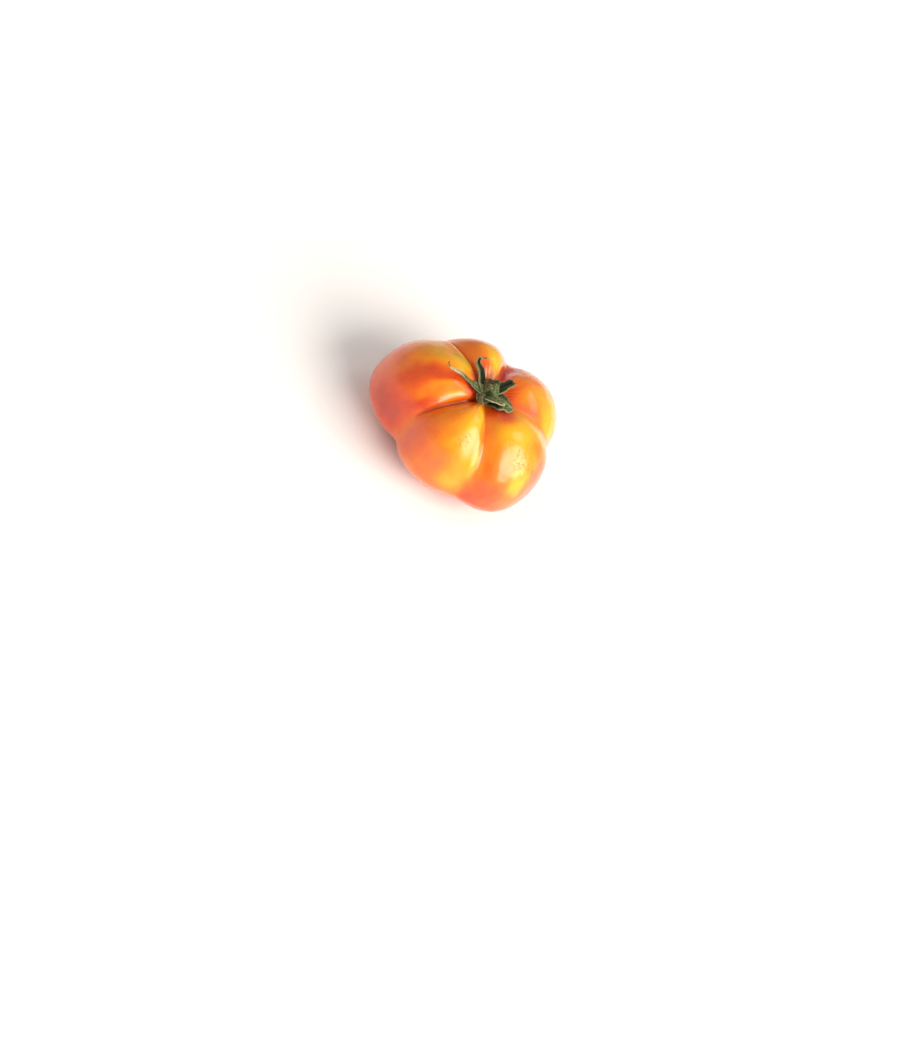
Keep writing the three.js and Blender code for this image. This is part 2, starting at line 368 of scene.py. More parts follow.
@dataclass(frozen=True)
class WaxySkin:
    """Tomato skin: a thin clear wax over pigment that ripens from gold through orange to red.

    The wax is grown, not polished, so its shine is wide and a little uneven, and light goes some way into the
    flesh. The second half of its values says how strongly each pattern shows.
    """

    name: str = "tomato_waxy_skin"
    ripening: tuple[tuple[float, str], ...] = (
        (0.0, "#D3AC10"),
        (0.18, "#E9A606"),
        (0.34, "#E78204"),
        (0.5, "#E25F05"),
        (0.68, "#D03C06"),
        (0.85, "#AC1C06"),
        (1.0, "#780C05"),
    )
    bloom_and_sheen: str = "#C8705C"  # the dusty pink haze where the wax is thick, also laid as painted sheen and painted highlights
    olive: str = "#7D7B1E"  # unripe green that shows through
    # painted shade, laid along the grooves and round the stem
    crease: str = "#6E1106"
    freckle: str = "#FFC05C"
    cork: str = "#7A6422"
    mottle: float = 9.0  # millimetres between patches that ripen at a different pace
    streak: float = 3.0  # degrees between the fine streaks that run from stem to blossom end
    pore: float = 1.9  # millimetres between freckles
    scratch: float = 1.3  # millimetres between corky specks
    swelling: float = 2.6  # millimetres between the low swellings that break up a reflection
    grain: float = 0.45  # millimetres between the skin's cells, drawn coarse enough to show
    roughness: float = 0.36

    mottle_ripeness: float = 0.26
    streak_ripeness: float = 0.1
    bloom_and_sheen_breakup: tuple[float, float] = (0.8, 0.6)
    olive_breakup: tuple[float, float] = (1.2, 0.4)
    freckle_edge: tuple[float, float] = (0.13, 0.06)  # share of the spacing where one starts and is whole
    freckle_strength: float = 0.16
    speck_edge: tuple[float, float] = (0.53, 0.61)
    relief: float = 0.05  # millimetres that the fine relief stands up
    swelling_relief: float = 1.8  # times the cells' relief
    scar_relief: float = 1.4
    bloom_roughness: float = 0.16
    scar_roughness: float = 0.3
    scar_dulling: float = 0.85  # share of the wax that is missing on cork

    def pigment(
        self,
        tree: bpy.types.NodeTree,
        where: bpy.types.NodeSocket,
        painted: dict[Layer, bpy.types.NodeSocket],
        scars: bpy.types.Node,
    ) -> bpy.types.Node:
        """Mixes the skin's colour.

        Args:
            tree: the material's node tree.
            where: object coordinates.
            painted: the surface's own colouring.
            scars: the share that is corky.

        Returns:
            The node that gives the colour.
        """
        mottling = {"Vector": where, "Scale": 1 / (self.mottle * MM), "Detail": 5.0}
        patches = add_node(tree, "TexNoise", mottling)
        streaking = {"Vector": painted[Layer.FLOW], "Scale": math.degrees(1) / self.streak, "Detail": 3.0}
        streaks = add_node(tree, "TexNoise", streaking)
        ahead = {0: patches, 1: self.mottle_ripeness, 2: -self.mottle_ripeness / 2}
        pace = add_node(tree, "Math", ahead, operation="MULTIPLY_ADD")
        faster = {0: streaks, 1: self.streak_ripeness, 2: pace}
        pace = add_node(tree, "Math", faster, operation="MULTIPLY_ADD")
        pace = add_node(tree, "Math", {0: pace, 1: self.streak_ripeness / 2}, operation="SUBTRACT")
        ripe = add_node(tree, "Math", {0: painted[Layer.RIPENESS], 1: pace}, operation="ADD", use_clamp=True)
        colour = add_node(tree, "ValToRGB", {"Fac": ripe}, self.ripening)

        for layer, pattern, breakup, tint in (
            # bloom, with painted sheen and painted highlights
            (Layer.BLOOM, patches, self.bloom_and_sheen_breakup, self.bloom_and_sheen),
            (Layer.GREEN, streaks, self.olive_breakup, self.olive),
        ):
            colour = laid_over(tree, colour, painted[layer], pattern, breakup, linear(tint))

        pores = add_node(tree, "TexVoronoi", {"Vector": where, "Scale": 1 / (self.pore * MM)})
        start, whole = self.freckle_edge
        dotting = {"Value": pores, 1: start, 2: whole, 3: 0.0, 4: self.freckle_strength}
        dot = add_node(tree, "MapRange", dotting)
        for share, tint in (
            (dot, self.freckle),
            # painted shade
            (painted[Layer.CREASE], self.crease),
            (scars, self.cork),
        ):
            colour = add_node(tree, "Mix", {0: share, 6: colour, 7: linear(tint)}, data_type="RGBA")
        return colour

    def scars(
        self,
        tree: bpy.types.NodeTree,
        where: bpy.types.NodeSocket,
        scuffed: bpy.types.NodeSocket,
    ) -> bpy.types.Node:
        """Scatters fine corky scratches and specks, only where the skin was rubbed.

        Args:
            tree: the material's node tree.
            where: object coordinates.
            scuffed: how much the skin was rubbed, from 0 to 1.

        Returns:
            The node that gives a share from 0 to 1.
        """
        scratching = {"Vector": where, "Scale": 1 / (self.scratch * MM), "Detail": 4.0, "Distortion": 1.5}
        crumbs = add_node(tree, "TexNoise", scratching)
        start, whole = self.speck_edge
        speck = add_node(tree, "MapRange", {"Value": crumbs, 1: start, 2: whole})
        return add_node(tree, "Math", {0: speck, 1: scuffed}, operation="MULTIPLY", use_clamp=True)

    def make(self) -> bpy.types.Material:
        """Builds the material.

        Returns:
            The material.
        """
        material, tree, shader = new_material(self.name)
        where = add_node(tree, "TexCoord").outputs["Object"]
        painted = {}
        for layer in (Layer.RIPENESS, Layer.BLOOM, Layer.GREEN, Layer.CREASE, Layer.SCUFF, Layer.FLOW):
            node = add_node(tree, "Attribute", attribute_name=layer.value)
            painted[layer] = node.outputs["Vector" if layer is Layer.FLOW else "Fac"]
        cells, swells = (
            add_node(tree, "TexNoise", {"Vector": where, "Scale": 1 / (size * MM), "Detail": 2.0})
            for size in (self.grain, self.swelling)
        )
        scars = self.scars(tree, where, painted[Layer.SCUFF])
        swollen = {0: swells, 1: self.swelling_relief, 2: cells}
        height = add_node(tree, "Math", swollen, operation="MULTIPLY_ADD")
        scarred = {0: scars, 1: self.scar_relief, 2: height}
        height = add_node(tree, "Math", scarred, operation="MULTIPLY_ADD")
        bump = add_node(tree, "Bump", {"Height": height, "Strength": 0.6, "Distance": self.relief * MM})
        hazy = {0: painted[Layer.BLOOM], 1: self.bloom_roughness, 2: self.roughness}
        rough = add_node(tree, "Math", hazy, operation="MULTIPLY_ADD")
        corky = {0: scars, 1: self.scar_roughness, 2: rough}
        rough = add_node(tree, "Math", corky, operation="MULTIPLY_ADD")
        waxed = {0: scars, 1: -self.scar_dulling, 2: 1.0}
        connect(tree, shader, {
            "Base Color": self.pigment(tree, where, painted, scars),
            "Roughness": rough,
            "Normal": bump,
            "IOR": 1.4,
            "Subsurface Weight": 0.1,
            "Subsurface Radius": (1.0, 0.35, 0.12),
            "Subsurface Scale": 2.5 * MM,
            "Specular IOR Level": 0.3,
            "Coat Weight": add_node(tree, "Math", waxed, operation="MULTIPLY_ADD"),
            "Coat Roughness": 0.19,
            "Coat IOR": 1.42,
        })
        return material


@dataclass(frozen=True)
class LeafyGreen:
    """Sepal and stem: soft green tissue under fine down, paler at its veins and margins, brown where dry.

    Down and dried cells scatter light, so it is dull all over, with no shine but a faint pale edge. Its
    folds, roots and wrinkles' hollows carry painted shade.
    """

    name: str = "tomato_leafy_green"
    deep: str = "#1A240E"
    green: str = "#626F36"
    pale: str = "#B2AE88"
    dry: str = "#8C6F48"
    char: str = "#241A10"
    shade: str = "#080B05"  # painted shade for the innermost folds, the roots and shaded halves of the sepals, and the stub's foot and torn hollow
    crinkle: float = 0.8  # millimetres between the wrinkles of drying tissue
    grain: float = 0.28  # millimetres between cells and hair roots
    browning: float = 3.2  # millimetres between patches that dry at a different pace
    wrinkle_edge: tuple[float, float] = (0.34, 0.64)
    pale_breakup: tuple[float, float] = (1.3, 0.35)
    dry_breakup: tuple[float, float] = (1.2, 0.45)
    vein_strength: float = 0.35
    relief: float = 0.25  # millimetres that the wrinkles stand up
    cell_relief: float = 0.3  # times the wrinkles' relief

    def make(self) -> bpy.types.Material:
        """Builds the material.

        Returns:
            The material.
        """
        material, tree, shader = new_material(self.name)
        where = add_node(tree, "TexCoord").outputs["Object"]
        painted = {}
        for layer in (Layer.PALE, Layer.VEIN, Layer.DRY, Layer.CREASE):
            painted[layer] = add_node(tree, "Attribute", attribute_name=layer.value).outputs["Fac"]
        wrinkles, cells, patch = (
            add_node(tree, "TexNoise", {"Vector": where, "Scale": 1 / (size * MM), "Detail": detail})
            for size, detail in ((self.crinkle, 4.0), (self.grain, 1.0), (self.browning, 2.0))
        )
        # The wrinkles that raise the bump also set the tone: deep green, and char where dry, in their
        # hollows, painted shade over the tissue's own uneven tone.
        low, high = self.wrinkle_edge
        depth = add_node(tree, "MapRange", {"Value": wrinkles, 1: low, 2: high})
        fresh = {0: depth, 6: linear(self.deep), 7: linear(self.green)}
        colour = add_node(tree, "Mix", fresh, data_type="RGBA")
        colour = laid_over(tree, colour, painted[Layer.PALE], wrinkles, self.pale_breakup, linear(self.pale))
        vein = add_node(tree, "Math", {0: painted[Layer.VEIN], 1: self.vein_strength}, operation="MULTIPLY")
        colour = add_node(tree, "Mix", {0: vein, 6: colour, 7: linear(self.pale)}, data_type="RGBA")
        dead = {0: depth, 6: linear(self.char), 7: linear(self.dry)}
        dried = add_node(tree, "Mix", dead, data_type="RGBA")
        colour = laid_over(tree, colour, painted[Layer.DRY], patch, self.dry_breakup, dried)
        # Painted shade is laid over the colour last.
        painted_shading = {0: painted[Layer.CREASE], 6: colour, 7: linear(self.shade)}
        colour = add_node(tree, "Mix", painted_shading, data_type="RGBA")
        rise = {0: cells, 1: self.cell_relief, 2: wrinkles}
        height = add_node(tree, "Math", rise, operation="MULTIPLY_ADD")
        connect(tree, shader, {
            "Base Color": colour,
            "Normal": add_node(tree, "Bump", {
                "Height": height, "Strength": 0.7, "Distance": self.relief * MM,
            }),
            "Roughness": 0.7,
            "IOR": 1.36,
            "Specular IOR Level": 0.3,
            "Sheen Weight": 0.04,
            "Sheen Roughness": 0.5,
        })
        return material


@dataclass(frozen=True)
class Down:
    """The fine hairs of the crown: clear, thin and pale, so they only show as a soft edge."""

    name: str = "tomato_down_hairs"
    light: str = "#A9AF8C"
    dark: str = "#6C7850"
    tuft: float = 4.0  # millimetres between lighter and darker tufts

    def make(self) -> bpy.types.Material:
        """Builds the material.

        Returns:
            The material.
        """
        material, tree, shader = new_material(self.name)
        where = add_node(tree, "TexCoord").outputs["Object"]
        tint = add_node(tree, "TexNoise", {"Vector": where, "Scale": 1 / (self.tuft * MM)})
        shades = {0: tint, 6: linear(self.dark), 7: linear(self.light)}
        colour = add_node(tree, "Mix", shades, data_type="RGBA")
        connect(tree, shader, {"Base Color": colour, "Roughness": 0.5})
        return material


@dataclass(frozen=True)
class PaperSweep:
    """Matt white photographer's paper, so it gives back an even light and a soft shadow."""

    name: str = "white_paper_sweep"
    smooth: str = "#F4F3F1"
    fibrous: str = "#F2F1EF"
    fibre: float = 2.0  # millimetres between clouds of fibres

    def make(self) -> bpy.types.Material:
        """Builds the material.

        Returns:
            The material.
        """
        material, tree, shader = new_material(self.name)
        where = add_node(tree, "TexCoord").outputs["Object"]
        clouds = add_node(tree, "TexNoise", {"Vector": where, "Scale": 1 / (self.fibre * MM)})
        shades = {0: clouds, 6: linear(self.fibrous), 7: linear(self.smooth)}
        colour = add_node(tree, "Mix", shades, data_type="RGBA")
        connect(tree, shader, {"Base Color": colour, "Roughness": 0.9, "Specular IOR Level": 0.2})
        return material


@dataclass(frozen=True)
class SkinMap:
    """Where each point of the skin lies: bearing and elevation, and millimetres out from the axis and up."""

    bearing: np.ndarray
    elevation: np.ndarray
    out: np.ndarray
    height: np.ndarray

    @classmethod
    def of(cls, points: np.ndarray) -> "SkinMap":
        """Maps points.

        Args:
            points: millimetres from the stem's axis, one a row.

        Returns:
            The map, in the points' order.
        """
        out = np.hypot(points[:, 0], points[:, 1])
        bearing = np.degrees(np.arctan2(points[:, 1], points[:, 0]))
        return cls(bearing, np.degrees(np.arctan2(points[:, 2] - WAIST, out)), out, points[:, 2])


@dataclass(frozen=True)
class Groove:
    """A crease between two lobes, along the same line as in the solid.

    It turns from its bearing at the waist by rise and curl on its way to the stem, and by drop on its way
    down.
    """

    bearing: float
    rise: float
    curl: float
    drop: float
    girth: float  # how far out its bottom is at the waist
    slit: float  # depth of the crisp crease in its bottom
    ends: float  # elevation where the crisp crease has opened into a soft valley
    lip: Lip
    blend: float  # millimetres over which the colours of its two lobes meet
    line: float  # how dark the painted shade along its line is, which also scales how much riper it is there

    def gap(self, skin: SkinMap) -> np.ndarray:
        """Measures how far each point is from the groove's line, round the fruit.

        Args:
            skin: the points.

        Returns:
            Millimetres, over 0 anticlockwise of it.
        """
        cos = np.clip(skin.out / self.girth, 0, 1) ** (1 / ROUNDNESS)
        sin = np.sqrt(1 - cos**2)
        turn = np.where(skin.height > WAIST, self.rise * sin + self.curl * (1 - cos), self.drop * sin)
        return np.radians(turned(skin.bearing - self.bearing - turn)) * skin.out

    def crisp(self, skin: SkinMap) -> np.ndarray:
        """How crisp the crease is at each point, from 0 to 1."""
        return ease(self.ends, self.ends + OPENING, skin.elevation) * ease(*CREASES_START, skin.out)

    def far_side(self, skin: SkinMap) -> np.ndarray:
        """How far each point belongs to the lobe anticlockwise of the groove, from 0 to 1."""
        soft = OPEN_BLEND + (self.blend - OPEN_BLEND) * self.crisp(skin)
        return ease(-soft, soft, self.gap(skin))


@dataclass(frozen=True)
class Blush:
    """A soft patch laid over one lobe's colouring, as with an airbrush.

    It has a middle and a reach round and up in degrees, and draws what it names towards a value of its own.
    """

    lobe: Lobe
    bearing: float
    elevation: float
    round: float
    up: float
    ripeness: float | None = None
    # wax bloom, also used for painted sheen and painted highlights
    bloom_and_sheen: float | None = None
    green: float | None = None
    scuff: float | None = None
    strength: float = 0.92
    edge: float = 1.3  # 1 fades like mist, more has a firmer edge

    def share(self, skin: SkinMap) -> np.ndarray:
        """Measures how much of the patch each point has.

        Args:
            skin: the points.

        Returns:
            A share from 0 to 1 for each point.
        """
        beside = turned(skin.bearing - self.bearing) / self.round
        above = (skin.elevation - self.elevation) / self.up
        return self.strength * np.exp(-((beside**2 + above**2) ** self.edge))


GROOVES = (
    Groove(-206, 9, 7, 1, 43, 1.3, 22, Lip.ANTICLOCKWISE, 0.4, 0.95),
    Groove(-118.5, 0, 10, 2.5, 39, 0.9, 12, Lip.CLOCKWISE, 0.5, 0.7),
    Groove(-55.5, 5.5, -18.5, 11.5, 43, 0.25, 6, Lip.CLOCKWISE, 0.5, 0.2),
    Groove(24, -4, -2, 0.5, 45, 0.0, 45, Lip.NEITHER, 3.5, 0.0),
    Groove(96, 1, 0, 0, 44, 0.6, 30, Lip.ANTICLOCKWISE, 0.6, 0.5),
)

BLUSHES = (
    Blush(Lobe.LEFT, -172, 44, 30, 26, ripeness=0.26),
    Blush(Lobe.LEFT, -178, 58, 16, 9, ripeness=0.1, green=0.14),
    Blush(Lobe.LEFT, -166, 36, 12, 9, green=0.16),
    Blush(Lobe.LEFT, -181, 49, 4, 4, green=0.4),
    Blush(Lobe.LEFT, -178, 68, 14, 4, ripeness=0.45, bloom_and_sheen=0.3),
    Blush(Lobe.LEFT, -146, 48, 9, 18, ripeness=0.66),
    Blush(Lobe.LEFT, -141, 26, 8, 12, ripeness=0.66),
    Blush(Lobe.LEFT, -133, 44, 5, 16, ripeness=0.32),
    # paler gold under the left lobe's highlight, partly a painted highlight
    Blush(Lobe.LEFT, -122, 48, 5, 12, ripeness=0.26),
    Blush(Lobe.LEFT, -122, 22, 4, 13, ripeness=0.7),
    Blush(Lobe.LEFT, -136, 68, 18, 5, ripeness=0.9),
    # a painted highlight: a thin pale pink strip just under the stem
    Blush(Lobe.LEFT, -124, 62, 8, 3, bloom_and_sheen=0.4),
    # painted sheen, these two: the pale pink of a grazing reflection low on the left lobe
    Blush(Lobe.LEFT, -166, 2, 32, 20, ripeness=0.56, bloom_and_sheen=0.5),
    Blush(Lobe.LEFT, -134, 2, 16, 16, ripeness=0.84, bloom_and_sheen=0.2),
    Blush(Lobe.FRONT_LEFT, -104, 44, 11, 22, ripeness=0.38),
    Blush(Lobe.FRONT_LEFT, -106, 66, 12, 6, ripeness=0.92),
    Blush(Lobe.FRONT_LEFT, -104, 6, 13, 20, ripeness=0.57, bloom_and_sheen=0.28),
    Blush(Lobe.FRONT_LEFT, -76, 46, 17, 26, ripeness=0.17),
    Blush(Lobe.FRONT_LEFT, -66, 16, 12, 24, ripeness=0.2),
    Blush(Lobe.FRONT_LEFT, -84, 8, 7, 14, ripeness=0.42, bloom_and_sheen=0.2),
    Blush(Lobe.FRONT_LEFT, -76, -16, 24, 10, ripeness=0.36, bloom_and_sheen=0.25),
    Blush(Lobe.FRONT_RIGHT, -50, 38, 8, 26, ripeness=0.42),
    Blush(Lobe.FRONT_RIGHT, -18, 50, 30, 11, ripeness=0.12),
    Blush(Lobe.FRONT_RIGHT, -24, 34, 16, 14, ripeness=0.2),
    Blush(Lobe.FRONT_RIGHT, -23, 19, 6, 10, ripeness=0.1),
    Blush(Lobe.FRONT_RIGHT, -45, 2, 18, 13, ripeness=0.62, bloom_and_sheen=0.12),
    Blush(Lobe.FRONT_RIGHT, -1, 12, 15, 19, ripeness=0.58),
    Blush(Lobe.FRONT_RIGHT, -15, 67, 48, 7, ripeness=0.72),
    Blush(Lobe.FRONT_RIGHT, 10, 42, 12, 17, ripeness=0.14),
    Blush(Lobe.RIGHT, 38, 30, 26, 16, ripeness=0.12),
    Blush(Lobe.RIGHT, 54, 48, 12, 12, ripeness=0.28),
    Blush(Lobe.RIGHT, 46, 67, 30, 6, ripeness=0.66),
    Blush(Lobe.RIGHT, 27, 54, 6, 12, ripeness=0.56, bloom_and_sheen=0.3),
    Blush(Lobe.RIGHT, 76, 40, 14, 14, ripeness=0.4),
    Blush(Lobe.RIGHT, 91, 50, 8, 22, ripeness=0.72),
    Blush(Lobe.BACK, 120, 57, 24, 12, ripeness=0.12),
    Blush(Lobe.BACK, 122, 30, 24, 18, ripeness=0.3),
    Blush(Lobe.BACK, 100, 50, 4, 18, ripeness=0.62),
    Blush(Lobe.BACK, 150, 48, 9, 18, ripeness=0.46, green=0.15),
    Blush(Lobe.BACK, 148, 66, 14, 5, ripeness=0.62),
    # a painted highlight: a thin pale pink strip above the stub
    Blush(Lobe.BACK, 122, 70, 26, 3, bloom_and_sheen=0.5),
    Blush(Lobe.FRONT_LEFT, -77, 35, 6, 7, scuff=1.0, strength=1.0),
    Blush(Lobe.FRONT_RIGHT, -36, 45, 5, 3, scuff=0.9, strength=1.0),
    Blush(Lobe.FRONT_RIGHT, -24, 32, 11, 9, scuff=1.0, strength=1.0),
    Blush(Lobe.LEFT, -180, 50, 5, 4, scuff=0.25, strength=1.0),
)


@dataclass
class Fruit:
    """The ribbed fruit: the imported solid's own form, rounded, creased and coloured."""

    levels: int = 2
    merge: float = 0.002  # millimetres within which the facets' loose corners become one
    undulation: float = 0.35
    undulation_size: float = 17.0
    undulation_inwards: float = 0.4  # share of the undulation that the whole skin draws in by
    ripple: float = 0.09
    ripple_size: float = 5.0
    pucker: float = 0.07
    puckers_round: int = 38
    pucker_ring: tuple[float, float] = (12, 7)  # how far out the puckers lie, and how wide their ring is
    slit_width: float = 0.8
    lip: float = 0.6
    lip_line: tuple[float, float] = (3.2, 2.3)  # how far the lip is from its groove, and how wide
    dip: float = 0.4
    dip_line: tuple[float, float] = (-2.2, 2.4)  # the same for the hollow that faces the lip
    foot: tuple[float, float] = (0.05, 3)  # heights between the untouched flats and the fully worked skin

    base_ripeness: float = 0.42
    underside: tuple[float, float] = (5, -35)  # elevations over which the underside's own colours set in
    underside_ripeness: float = 0.22
    underside_bloom: float = 0.25
    drift_size: float = 14.0
    drift_ripeness: float = 0.1
    stray: tuple[float, float] = (5, 4)  # degrees that patches stray round and up
    blossom_scar: tuple[float, float] = (4.5, 1.5)  # millimetres out, from its edge to where it is whole
    blossom_cork: float = 0.9
    stem_ring: tuple[float, float] = (9, 3)  # millimetres out over which painted shade darkens the skin round the stem
    # how dark the painted shade round the stem is
    stem_shade: float = 0.45
    # width of the painted shade along each groove's line
    shade_line_width: float = 0.6
    line_ripeness: tuple[float, float] = (0.12, 2.2)  # how much riper the skin is in a groove, and how wide
    # the darkest the painted shade gets
    darkest_shade: float = 0.85
    streak_run: float = 400.0  # degrees of elevation that a streak runs for each unit round

    def build(self) -> bpy.types.Object:
        """Builds, shapes and dresses the fruit.

        Returns:
            The piece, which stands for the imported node.
        """
        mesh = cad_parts["fruit"].data.copy()
        mesh.materials.clear()
        piece = bpy.data.objects.new("fruit_skin", mesh)
        bpy.context.scene.collection.objects.link(piece)
        self.round_off(piece)
        self.sculpt(piece)
        self.colour(piece)
        piece.data.materials.append(WaxySkin().make())
        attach(piece, "root")
        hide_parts("fruit")
        return piece

    def round_off(self, piece: bpy.types.Object) -> None:
        """Turns the facets to quads and rounds them.

        Args:
            piece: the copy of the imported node.
        """
        use(piece)
        bpy.ops.object.mode_set(mode="EDIT")
        bpy.ops.mesh.customdata_custom_splitnormals_clear()
        bpy.ops.mesh.select_all(action="SELECT")
        bpy.ops.mesh.remove_doubles(threshold=self.merge * MM)
        bpy.ops.mesh.tris_convert_to_quads(face_threshold=math.pi, shape_threshold=math.pi)
        bpy.ops.object.mode_set(mode="OBJECT")
        subdivide(piece, self.levels)
        use(piece)
        bpy.ops.object.shade_smooth()

    def sculpt(self, piece: bpy.types.Object) -> None:
        """Presses the creases in, swells their lips, and leaves the skin a little uneven.

        Args:
            piece: the rounded fruit.
        """
        points = points_of(piece)
        skin = SkinMap.of(points)
        push = self.undulation * (uneven(points, self.undulation_size) - self.undulation_inwards)
        push += self.ripple * uneven(points + 40, self.ripple_size, 2)
        wander = 4 * uneven(points, 9, 2)
        ribs = np.sin(np.radians(skin.bearing) * self.puckers_round + wander)
        push += self.pucker * ribs * hump(skin.out, *self.pucker_ring)
        for groove in GROOVES:
            gap, crisp = groove.gap(skin), groove.crisp(skin)
            push -= groove.slit * hump(gap, 0, self.slit_width) * crisp
            if groove.lip is not Lip.NEITHER:
                push += self.lip * hump(gap * groove.lip.value, *self.lip_line) * crisp
                push -= self.dip * hump(gap * groove.lip.value, *self.dip_line) * crisp
        push *= ease(*self.foot, skin.height)
        points = points + normals_of(piece) * push[:, None]
        low, high = (np.array(corner) / MM - STEM_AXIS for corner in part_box("fruit"))
        place(piece, np.clip(points, low, high))

    def colour(self, piece: bpy.types.Object) -> None:
        """Paints how ripe, hazy with bloom and painted sheen, green and scuffed each point is, and painted
        shade along the grooves and round the stem.

        Args:
            piece: the sculpted fruit.
        """
        points = points_of(piece)
        skin = SkinMap.of(points)
        drift = uneven(points, self.drift_size, 3)
        lift = uneven(points + 90, self.drift_size, 3)
        strayed = replace(
            skin,
            bearing=skin.bearing + self.stray[0] * drift,
            elevation=skin.elevation + self.stray[1] * lift,
        )
        sides = [groove.far_side(skin) for groove in GROOVES]
        below = ease(*self.underside, skin.elevation)
        riper = self.drift_ripeness * drift + self.underside_ripeness * below
        coat = {
            Layer.RIPENESS: self.base_ripeness + riper,
            Layer.BLOOM: self.underside_bloom * below,
            Layer.GREEN: np.zeros(len(points)),
            Layer.SCUFF: self.blossom_cork * ease(*self.blossom_scar, skin.out) * (skin.height < WAIST),
        }
        for blush in BLUSHES:
            after = blush.lobe.value
            within = sides[after] * (1 - sides[(after + 1) % len(GROOVES)])
            for layer, values in coat.items():
                aim = getattr(blush, layer.value)
                if aim is not None:
                    share = blush.share(skin if layer is Layer.SCUFF else strayed) * within
                    coat[layer] = values + (aim - values) * share
        # Painted shade: darker round the stem and along each groove's crisp line.
        crease = self.stem_shade * ease(*self.stem_ring, skin.out)
        gain, reach = self.line_ripeness
        for groove in GROOVES:
            gap, crisp = groove.gap(skin), groove.crisp(skin)
            coat[Layer.RIPENESS] += gain * hump(gap, 0, reach) * crisp * groove.line
            crease += groove.line * hump(gap, 0, self.shade_line_width) * crisp
        for layer, values in coat.items():
            paint(piece, layer, np.clip(values, 0, 1))
        paint(piece, Layer.CREASE, np.clip(crease, 0, self.darkest_shade))
        turn = np.radians(skin.bearing)
        flow = np.column_stack([np.cos(turn), np.sin(turn), skin.elevation / self.streak_run])
        paint(piece, Layer.FLOW, flow)


@dataclass(frozen=True)
class Spine:
    """A smooth line through given points, walked by its length."""

    points: tuple[Point, ...]
    samples: int = 24  # between one point and the next

    def walk(self, shares: np.ndarray) -> tuple[np.ndarray, np.ndarray]:
        """Finds places along the line.

        Args:
            shares: how far along, from 0 to 1.

        Returns:
            The places in millimetres and the directions of travel, one a row.
        """
        knots = np.array(self.points, float)
        knots = np.vstack([2 * knots[0] - knots[1], knots, 2 * knots[-1] - knots[-2]])
        t = np.linspace(0, 1, self.samples, endpoint=False)[:, None]
        pieces = []
        for a, b, c, d in zip(knots, knots[1:], knots[2:], knots[3:]):
            pieces.append(0.5 * (2 * b + (c - a) * t + (2 * a - 5 * b + 4 * c - d) * t**2
                                 + (3 * b - a - 3 * c + d) * t**3))
        path = np.vstack([*pieces, knots[-2]])
        length = np.append(0, np.cumsum(np.linalg.norm(np.diff(path, axis=0), axis=1)))
        slope = np.gradient(path, length, axis=0)
        places = np.column_stack([np.interp(shares, length / length[-1], path[:, i]) for i in range(3)])
        heading = np.column_stack([np.interp(shares, length / length[-1], slope[:, i]) for i in range(3)])
        return places, heading / np.linalg.norm(heading, axis=1, keepdims=True)


